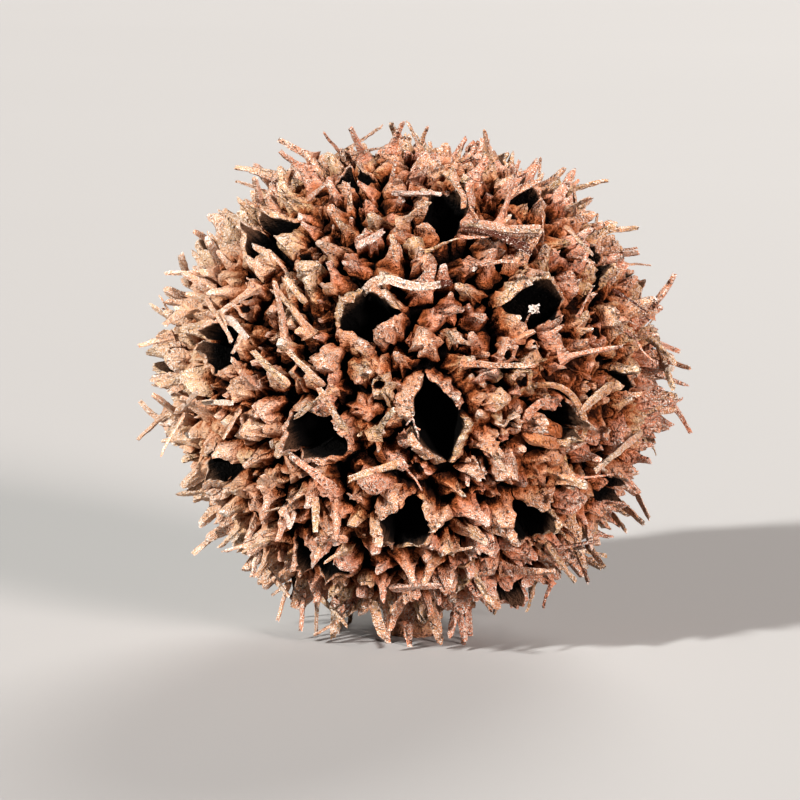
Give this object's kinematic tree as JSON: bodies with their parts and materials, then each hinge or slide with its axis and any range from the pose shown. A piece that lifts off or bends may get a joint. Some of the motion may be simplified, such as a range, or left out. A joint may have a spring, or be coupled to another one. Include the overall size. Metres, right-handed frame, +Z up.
{
  "type": "sweetgum seed ball",
  "caption": "Dry, round, empty fruit head with open lens-shaped capsules between short valve beaks, packed woody scales and thin spines.",
  "frame": {"origin": "middle of the stalk's broken end, on the surface that the ball lies on", "axes": "+Z up from the stalk through the middle of the ball, -Y towards the picture's view"},
  "size_m": [0.0294, 0.0295, 0.0276],
  "materials": {
    "dry_husk": "dry and rough, reddish brown in the clefts and pale tan on the tips, dark inside the capsules"
  },
  "bodies": {
    "root": {"seed_head": "dry_husk"}
  },
  "joints": []
}
